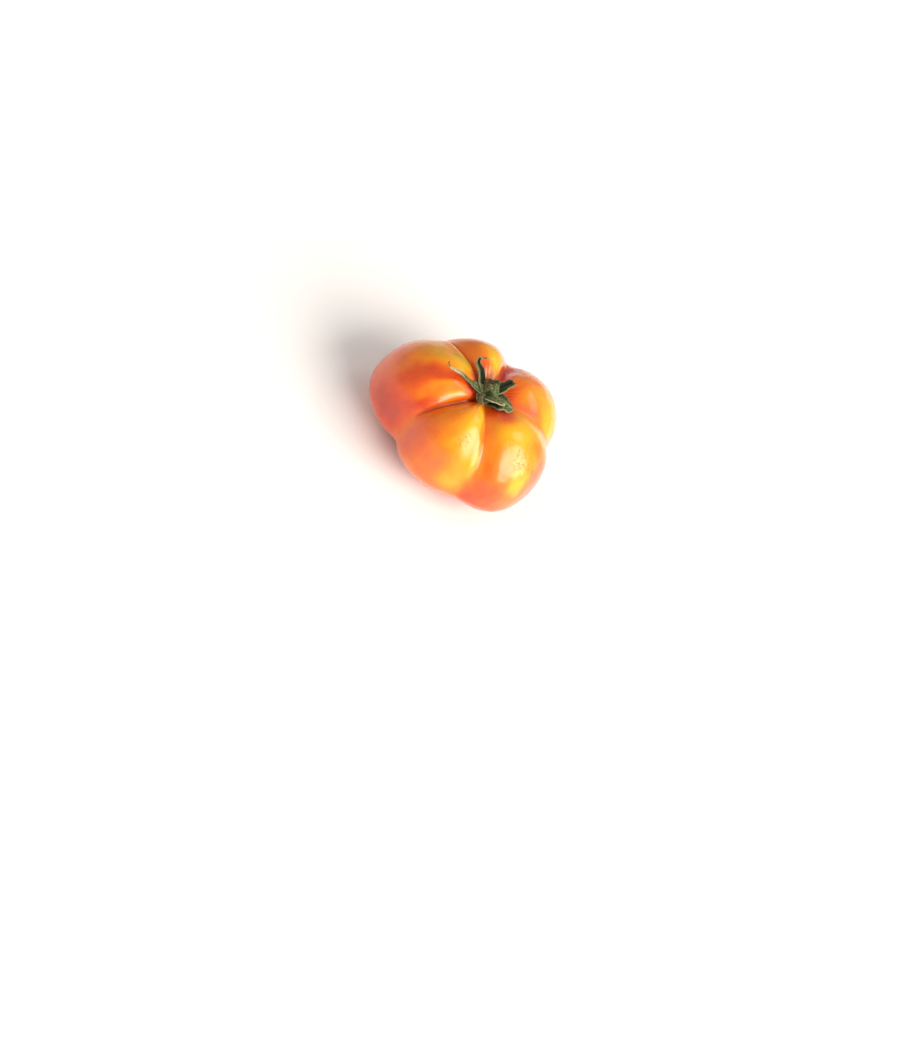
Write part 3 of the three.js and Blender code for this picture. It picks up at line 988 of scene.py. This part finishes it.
@dataclass
class Sepal:
    """One leaf of the crown, a fleshy blade folded along its middle.

    A fold over 0 lifts both halves, under 0 they hang, and curl bends the margins further up, or down
    under 0. Twist turns the blade about its own line on the way to the tip. Shade lays painted shade over its
    right and its left half, looking from root to tip.
    """

    name: str
    line: tuple[Point, ...]
    width: float
    fold: float
    bluntness: float
    curl: float = 20.0
    twist: float = 0.0
    thickness: float = 0.62
    pale_from: float = 1.3  # share of its length where its pale face starts to show
    pale_edge: float = 0.35
    dry_tip: float = 0.5
    dry: float = 0.0
    shade: tuple[float, float] = (0.0, 0.0)
    shade_to: float = 0.85  # share of its length where the shade starts to fade
    flare: float = 0.8  # how much wider each half is at its root, where it joins its neighbours
    neck: float = 0.0  # share of its width that it loses between root and blade
    phase: float = 0.0
    cells_along: int = 44
    cells_across: int = 14
    root: float = 0.22  # where on a half wave its outline starts
    narrowest: float = 0.2
    waviness: float = 0.08  # share that its width varies by
    ruffle: float = 0.4  # how far the margins wave up and down
    frill: float = 0.18  # the same, finer and only at the very edge
    midrib: tuple[float, float] = (0.25, 0.4)  # depth and width of the furrow over its middle vein
    wrinkle: tuple[float, float] = (0.16, 1.7)  # height and size of its wrinkles

    def build(self) -> bpy.types.Object:
        """Models the blade from a grid.

        Returns:
            The piece, not yet dressed.
        """
        bpy.ops.object.select_all(action="DESELECT")
        bpy.ops.mesh.primitive_grid_add(
            x_subdivisions=self.cells_along, y_subdivisions=self.cells_across, size=1)
        piece = added(self.name)
        grid = np.empty(len(piece.data.vertices) * 3)
        piece.data.vertices.foreach_get("co", grid)
        along, across = grid.reshape(-1, 3)[:, 0] + 0.5, grid.reshape(-1, 3)[:, 1] * 2
        place(piece, self.shaped(along, across))
        self.colour(piece, along, across)
        modify(piece, "SOLIDIFY", thickness=self.thickness * MM, offset=0.0, use_rim=True)
        subdivide(piece, 1)
        use(piece)
        bpy.ops.object.shade_smooth()
        return piece

    def half_width(self, along: np.ndarray) -> np.ndarray:
        """Works out half of the blade's width.

        Args:
            along: shares of its length.

        Returns:
            Millimetres for each share.
        """
        taper = np.sin(np.pi * (self.root + (1 - self.root) * along))
        grown = np.where(along > 0.5, np.maximum(taper, self.bluntness), taper)
        half = self.width / 2 * grown * np.sqrt(1 - along**8) * (1 - self.neck * hump(along, 0.42, 0.16))
        return np.maximum(half, self.narrowest) + self.flare * hump(along, 0.0, 0.26)

    def shaped(self, along: np.ndarray, across: np.ndarray) -> np.ndarray:
        """Bends the flat grid into the blade.

        Args:
            along: 0 at the root to 1 at the tip, for each vertex.
            across: -1 to 1 over the width.

        Returns:
            Millimetres from the stem's axis, one row a vertex.
        """
        middle, ahead = Spine(self.line).walk(along)
        first, last = Spine(self.line).walk(np.array([0.0, 1.0]))[0]
        chord = (last - first) * (1, 1, 0)
        side = np.cross((0, 0, 1), chord)
        side = side - ahead * (ahead @ side)[:, None]
        side /= np.linalg.norm(side, axis=1, keepdims=True)
        outside = np.cross(ahead, side)
        turn = np.radians(self.twist) * ease(0.1, 1.0, along)[:, None]
        side, outside = (
            side * np.cos(turn) + outside * np.sin(turn),
            outside * np.cos(turn) - side * np.sin(turn),
        )
        hand = np.sign(across)
        edge = np.abs(across)
        wave = self.waviness * np.sin(19 * along + 4 * hand + self.phase) * along
        half = self.half_width(along) * (1 + wave)
        fold, curl = math.radians(self.fold), math.radians(self.curl) + 1e-6
        reach = half * (np.sin(fold + curl * edge) - math.sin(fold)) / curl
        lift = half * (math.cos(fold) - np.cos(fold + curl * edge)) / curl
        lift += self.ruffle * np.sin(9 * along + 2 * hand + self.phase) * along * edge**2
        lift += self.frill * np.sin(24 * along + 5 * hand + self.phase) * along * edge**4
        depth, spread = self.midrib
        lift -= depth * hump(edge * half, 0, spread) * (1 - along)
        points = middle + side * (hand * reach)[:, None] + outside * lift[:, None]
        height, size = self.wrinkle
        return points + outside * (height * uneven(points, size, 2))[:, None]

    def colour(self, piece: bpy.types.Object, along: np.ndarray, across: np.ndarray) -> None:
        """Paints where the blade is pale, dry and veined, and painted shade at its root and over its shaded
        halves.

        Args:
            piece: the shaped grid.
            along: 0 at the root to 1 at the tip, for each vertex.
            across: -1 to 1 over the width.
        """
        edge = np.abs(across)
        ribs = 0.5 + 0.5 * np.cos(46 * along - 9 * edge)
        vein = hump(edge, 0, 0.12) + 0.4 * ribs**6 * ease(0.1, 0.3, edge)
        pale = self.pale_edge * ease(0.75, 1.0, edge)
        pale += 0.9 * ease(self.pale_from - 0.1, self.pale_from + 0.15, along)
        right, left = self.shade
        # Painted shade over one half or the other, fading towards the tip, and at the root.
        dark = right * ease(0.05, -0.3, across) + left * ease(-0.05, 0.3, across)
        dark = dark * (1 - 0.5 * ease(0.85, 1.0, edge)) * ease(self.shade_to + 0.15, self.shade_to, along)
        dark = dark + 0.35 * ease(0.2, 0.0, along)
        paint(piece, Layer.VEIN, np.clip(vein, 0, 1))
        paint(piece, Layer.PALE, np.clip(pale, 0, 1))
        paint(piece, Layer.DRY, np.clip(self.dry + self.dry_tip * ease(0.8, 1.0, along), 0, 1))
        paint(piece, Layer.CREASE, np.clip(dark, 0, 0.95))


SEPALS = (
    Sepal(
        "sepal_left",
        ((-1, -1.4, 49.6), (-7.6, -5.4, 51), (-11.6, -7.4, 52.6), (-16.4, -10, 54.6), (-19.9, -12.8, 56),
         (-22, -15.1, 57.6), (-24, -15.9, 60)),
        width=3.9, fold=10, bluntness=0.24, curl=20, twist=15, pale_from=0.58, pale_edge=0.15, dry_tip=1.0,
        flare=2.4, neck=0.45, phase=0.4,
    ),
    Sepal(
        "sepal_hooked",
        ((-2.4, -1.6, 49.2), (-7, 0, 50.8), (-10.3, 1.7, 53.3), (-13.2, 1.8, 55.4), (-15.1, 1.5, 57.4),
         (-15.7, 3.1, 59), (-12.9, 5.8, 59.5)),
        width=5, fold=30, bluntness=0.46, curl=20, pale_edge=0.4, shade=(0.85, 0.0), dry_tip=0.9, flare=1.3,
        phase=1.7,
    ),
    Sepal(
        "sepal_right",
        ((0.8, 1.6, 49.4), (2.4, 5.4, 51.5), (3.2, 8.1, 53), (4, 10.6, 54), (4.4, 13, 54.4)),
        width=8.6, fold=40, bluntness=0.8, curl=24, shade=(0.0, 1.0), dry_tip=0.0, phase=2.6,
    ),
    Sepal(
        "sepal_front",
        ((0, -2.6, 50), (2.3, -5.4, 53.2), (5.8, -5, 54.6), (9.3, -3, 54.4)),
        width=6, fold=8, bluntness=0.3, curl=14, pale_edge=0.8, pale_from=0.92, dry_tip=0.0, phase=3.9,
    ),
    Sepal(
        "sepal_drooping",
        ((1.2, 0, 50), (3.6, -0.4, 52.4), (7.2, -0.8, 54), (10.5, -0.4, 54.2), (13.5, 0.7, 53.1)),
        width=13, fold=-40, bluntness=0.66, curl=40, pale_edge=0.5, shade=(1.0, 0.2), shade_to=0.52,
        dry_tip=0.0, phase=0.9,
    ),
    Sepal(
        "sepal_curled",
        ((-0.6, -1.8, 49.8), (-1.4, -5.4, 51.6), (-0.8, -8.6, 52.4), (1.4, -11, 52)),
        width=8, fold=-24, bluntness=0.72, curl=-20, pale_edge=0.6, dry=0.4, dry_tip=0.3, shade=(0.0, 0.8),
        phase=5.1,
    ),
)


@dataclass
class Stub:
    """What is left of the stem: a ribbed column that flares to its foot, leans over, and tore and dried."""

    foot: Point = (2.0, 0.0, 46.6)
    height: float = 7.3
    lean: tuple[float, float] = (-5.2, 2.7)  # how far its end is moved along x and y
    slope: tuple[float, float] = (0.8, -0.25)  # rise of its torn end along x and y
    radii: tuple[float, ...] = (6.4, 5.7, 5.1, 4.5, 4.0, 3.6, 3.35, 3.2, 3.2)  # from foot to end
    torn: tuple[tuple[float, float], ...] = ((0.5, 0.2), (0.6, -0.8), (0.8, -0.3))  # each ring's inset, rise
    sides: int = 40
    rib: float = 0.3
    ribs: int = 5
    flute: float = 0.18
    flutes: int = 11
    ragged: tuple[tuple[float, int, float], ...] = ((0.35, 2, 1), (0.3, 7, 0), (0.25, 13, 2))  # rim waves
    wrinkle: tuple[float, float] = (0.35, 1.6)  # height and size of its wrinkles

    def build(self) -> bpy.types.Object:
        """Models the stub ring by ring, then its torn end.

        Returns:
            The piece, not yet dressed.
        """
        bpy.ops.object.select_all(action="DESELECT")
        start = (STEM_AXIS + self.foot) * MM
        bpy.ops.mesh.primitive_circle_add(
            vertices=self.sides, radius=self.radii[0] * MM, fill_type="NGON", location=start)
        piece = added("stem_stub")
        step = self.height / (len(self.radii) - 1)
        bpy.ops.object.mode_set(mode="EDIT")
        bpy.ops.mesh.select_all(action="SELECT")
        for low, high in zip(self.radii, self.radii[1:]):
            bpy.ops.mesh.extrude_region_move(TRANSFORM_OT_translate={"value": (0, 0, step * MM)})
            bpy.ops.transform.resize(value=(high / low, high / low, 1), center_override=start)
        for inset, rise in self.torn:
            bpy.ops.mesh.inset(thickness=inset * MM)
            bpy.ops.transform.translate(value=(0, 0, rise * MM))
        bpy.ops.mesh.poke()
        bpy.ops.object.mode_set(mode="OBJECT")
        self.weather(piece)
        subdivide(piece, 2)
        self.crinkle(piece)
        use(piece)
        bpy.ops.object.shade_smooth()
        return piece

    def weather(self, piece: bpy.types.Object) -> None:
        """Gives the column its ribs, its lean and its ragged, slanting end.

        Args:
            piece: the plain column.
        """
        local = points_of(piece) - self.foot
        up = np.clip(local[:, 2] / self.height, 0, 1.05)
        bearing = np.arctan2(local[:, 1], local[:, 0])
        out = np.hypot(local[:, 0], local[:, 1])
        ridges = self.rib * np.cos(self.ribs * bearing + 0.6) + self.flute * np.cos(self.flutes * bearing + 2)
        grown = out + ridges * ease(1, 3, out)
        x, y = grown * np.cos(bearing), grown * np.sin(bearing)
        rim = sum(height * np.sin(count * bearing + turn) for height, count, turn in self.ragged)
        local[:, 0] = x + self.lean[0] * up**2
        local[:, 1] = y + self.lean[1] * up**2
        tilt = (self.slope[0] * x + self.slope[1] * y) * up**2
        local[:, 2] += tilt + rim * hump(out, 3, 0.8) * ease(0.85, 1.0, up)
        place(piece, local + self.foot)

    def crinkle(self, piece: bpy.types.Object) -> None:
        """Wrinkles the drying surface and paints where it is dry, and painted shade at its foot and in the
        hollow of its torn end.

        Args:
            piece: the rounded stub.
        """
        points = points_of(piece)
        height, size = self.wrinkle
        push = height * uneven(points * (1, 1, 0.4), size, 3)
        points = points + normals_of(piece) * push[:, None]
        place(piece, points)
        local = points - self.foot
        up = local[:, 2] / self.height
        slant = up - (self.slope[0] * (local[:, 0] - self.lean[0] * up**2)) / self.height
        middle = np.hypot(local[:, 0] - self.lean[0] * up**2, local[:, 1] - self.lean[1] * up**2)
        bearing = np.arctan2(local[:, 1], local[:, 0] + 1.5)
        hollow = ease(0.8, 0.95, slant) * ease(2.8, 2.0, middle)
        paint(piece, Layer.DRY, np.clip(ease(0.9, 1.02, slant) + hollow, 0, 1))
        paint(piece, Layer.PALE, 0.3 * hump(slant, 0.9, 0.08))
        paint(piece, Layer.VEIN, 0.6 * ease(0.6, 0.98, np.cos(self.ribs * bearing)))
        # painted shade at the foot and in the torn end's hollow
        paint(piece, Layer.CREASE, np.clip(0.5 * ease(0.3, 0.05, up) + 0.75 * hollow, 0, 0.9))


@dataclass
class Hairs:
    """The down on the crown: short tapering hairs, standing off every leaf and the stub."""

    number: int = 1500
    length: tuple[float, float] = (0.25, 0.7)  # shortest and longest
    girth: float = 0.022
    spread: float = 0.35  # how far they lean, as a share of their length
    sunk: float = 0.05

    def build(self, pieces: list[bpy.types.Object]) -> bpy.types.Object:
        """Plants one modelled hair over and over.

        Args:
            pieces: what the hairs grow on.

        Returns:
            One piece that holds them all.
        """
        bpy.ops.object.select_all(action="DESELECT")
        bpy.ops.mesh.primitive_cone_add(
            vertices=3, radius1=self.girth * MM, depth=MM, location=(0, 0, MM / 2))
        piece = added("crown_hairs")
        shape = np.array([v.co for v in piece.data.vertices]) / MM
        faces = [tuple(p.vertices) for p in piece.data.polygons]
        roots, normals = self.scattered(pieces)
        rng = np.random.default_rng(SEED)
        vertices, polygons = [], []
        for root, normal in zip(roots, normals):
            lean = Vector(normal) + Vector(rng.normal(0, self.spread, 3))
            turn = np.array(lean.to_track_quat("Z", "Y").to_matrix())
            length = rng.uniform(*self.length)
            polygons += [tuple(i + len(vertices) * len(shape) for i in face) for face in faces]
            hair = (shape * (1, 1, length)) @ turn.T * MM + root - normal * self.sunk * MM
            vertices.append(np.clip(hair, *CAD_BOX))
        mesh = bpy.data.meshes.new("crown_hairs")
        mesh.from_pydata(np.vstack(vertices).tolist(), [], polygons)
        old, piece.data = piece.data, mesh
        bpy.data.meshes.remove(old)
        return piece

    def scattered(self, pieces: list[bpy.types.Object]) -> tuple[np.ndarray, np.ndarray]:
        """Picks places spread evenly over the pieces.

        Args:
            pieces: what the hairs grow on.

        Returns:
            Places in metres and outward normals, one a row.
        """
        rng = np.random.default_rng(SEED + 1)
        centres = np.array([p.center for piece in pieces for p in piece.data.polygons])
        normals = np.array([p.normal for piece in pieces for p in piece.data.polygons])
        areas = np.array([p.area for piece in pieces for p in piece.data.polygons])
        # Extruded faces come in another order on each run, so they are put in one order first.
        order = np.lexsort((centres / MM).round(3).T)
        centres, normals, areas = centres[order], normals[order], areas[order].round(12)
        chosen = rng.choice(len(centres), self.number, replace=False, p=areas / areas.sum())
        return centres[chosen], normals[chosen]


@dataclass
class Crown:
    """The green crown: stub and sepals that grew as one, and their down."""

    sepals: tuple[Sepal, ...] = SEPALS
    stub: Stub = field(default_factory=Stub)
    hairs: Hairs = field(default_factory=Hairs)

    def build(self) -> list[bpy.types.Object]:
        """Builds and dresses every piece of the crown.

        Returns:
            The pieces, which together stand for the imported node.
        """
        leafy = LeafyGreen().make()
        grown = [self.stub.build(), *(sepal.build() for sepal in self.sepals)]
        for piece in grown:
            piece.data.materials.append(leafy)
        down = self.hairs.build(grown)
        down.data.materials.append(Down().make())
        for piece in [*grown, down]:
            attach(piece, "root")
            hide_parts("calyx")
        return [*grown, down]


@dataclass(frozen=True)
class Softbox:
    """A diffused lamp that faces the fruit, as a tall window would."""

    name: str
    bearing: float
    elevation: float
    size: tuple[float, float]  # millimetres
    power: float  # watts
    colour: str = "#FFF8F0"
    distance: float = 3000.0
    matt: bool = True  # whether it lights what is matt
    gloss: bool = True  # whether what is glossy mirrors it

    def place(self) -> bpy.types.Object:
        """Hangs the lamp and turns it to the fruit.

        Returns:
            The lamp.
        """
        bearing, elevation = math.radians(self.bearing), math.radians(self.elevation)
        way = Vector((math.cos(bearing) * math.cos(elevation), math.sin(bearing) * math.cos(elevation),
                      math.sin(elevation)))
        middle = Vector(STEM_AXIS + (0, 0, WAIST)) * MM
        bpy.ops.object.light_add(type="AREA", location=middle + way * self.distance * MM)
        lamp = bpy.context.active_object
        lamp.name = self.name
        lamp.rotation_euler = (-way).to_track_quat("-Z", "Y").to_euler()
        lamp.data.shape = "RECTANGLE"
        lamp.data.size, lamp.data.size_y = self.size[0] * MM, self.size[1] * MM
        lamp.data.energy = self.power
        lamp.data.color = linear(self.colour)[:3]
        lamp.visible_diffuse, lamp.visible_glossy = self.matt, self.gloss
        return lamp


@dataclass(frozen=True)
class Viewpoint:
    """The camera: it looks down on the fruit and leans over, as the photographer held it."""

    elevation: float = 44.0
    roll: float = 46.0
    distance: float = 700.0
    lens: float = 48.0
    sensor: float = 36.0
    image: tuple[int, int] = (900, 1050)  # pixels
    waist_px: tuple[float, float] = (461.8, 420.2)  # where the middle of the waist shows

    def place(self) -> bpy.types.Object:
        """Sets the scene's camera up.

        Returns:
            The camera.
        """
        e, roll = math.radians(self.elevation), math.radians(self.roll)
        ahead = Vector((0, math.cos(e), -math.sin(e)))
        right, up = Vector((1, 0, 0)), Vector((0, math.sin(e), math.cos(e)))
        across = right * math.cos(roll) + up * math.sin(roll)
        upwards = up * math.cos(roll) - right * math.sin(roll)
        focal_px = self.lens / self.sensor * max(self.image)
        seen = Vector((self.waist_px[0] - self.image[0] / 2, self.image[1] / 2 - self.waist_px[1], focal_px))
        aim = Vector((0, 0, 1)).rotation_difference(seen).to_matrix()
        axes = aim @ Matrix((across, upwards, ahead))
        turn = Matrix((axes[0], axes[1], -axes[2])).transposed()
        middle = Vector(STEM_AXIS + (0, 0, WAIST)) * MM
        bpy.ops.object.camera_add()
        camera = bpy.context.active_object
        camera.name = "photographer"
        camera.matrix_world = Matrix.Translation(middle - ahead * self.distance * MM) @ turn.to_4x4()
        camera.data.lens, camera.data.sensor_width = self.lens, self.sensor
        bpy.context.scene.camera = camera
        return camera


@dataclass
class Studio:
    """A white paper sweep, window-like softboxes, white surroundings and the camera."""

    floor_size: float = 8000.0
    floor_drop: float = 0.02  # how far the paper lies under the fruit, so that the two don't flicker
    air: float = 0.42  # strength of the white surroundings
    lamps: tuple[Softbox, ...] = (
        Softbox("window_softbox", -12, 34, (3300, 2400), 165.0),
        Softbox("window_gleam", -12, 34, (3300, 2400), 95.0, matt=False),
        Softbox("side_softbox", 60, 50, (1000, 900), 8.0),
        Softbox("fill_softbox", -135, 30, (2800, 2200), 27.0, gloss=False),
    )
    view: Viewpoint = field(default_factory=Viewpoint)

    def build(self) -> None:
        """Builds everything that isn't the fruit."""
        bpy.ops.object.select_all(action="DESELECT")
        self.view.place()
        for lamp in self.lamps:
            lamp.place()
        bpy.ops.mesh.primitive_plane_add(size=self.floor_size * MM, location=(0, 0, -self.floor_drop * MM))
        floor = added("paper_floor")
        floor.data.materials.append(PaperSweep().make())
        world = bpy.data.worlds.new("studio_air")
        world.use_nodes = True
        backdrop = world.node_tree.nodes["Background"]
        backdrop.inputs["Color"].default_value = linear("#FFFFFF")
        backdrop.inputs["Strength"].default_value = self.air
        bpy.context.scene.world = world
        bpy.context.scene.view_settings.view_transform = "Standard"


def main() -> None:
    """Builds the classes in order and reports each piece."""
    logging.basicConfig(level=logging.INFO, format="%(name)s: %(message)s")
    Studio().build()
    LOG.info("studio ready")
    pieces = [Fruit().build(), *Crown().build()]
    for piece in pieces:
        LOG.info("%s: %d faces", piece.name, len(piece.data.polygons))


if __name__ == "__main__":
    main()
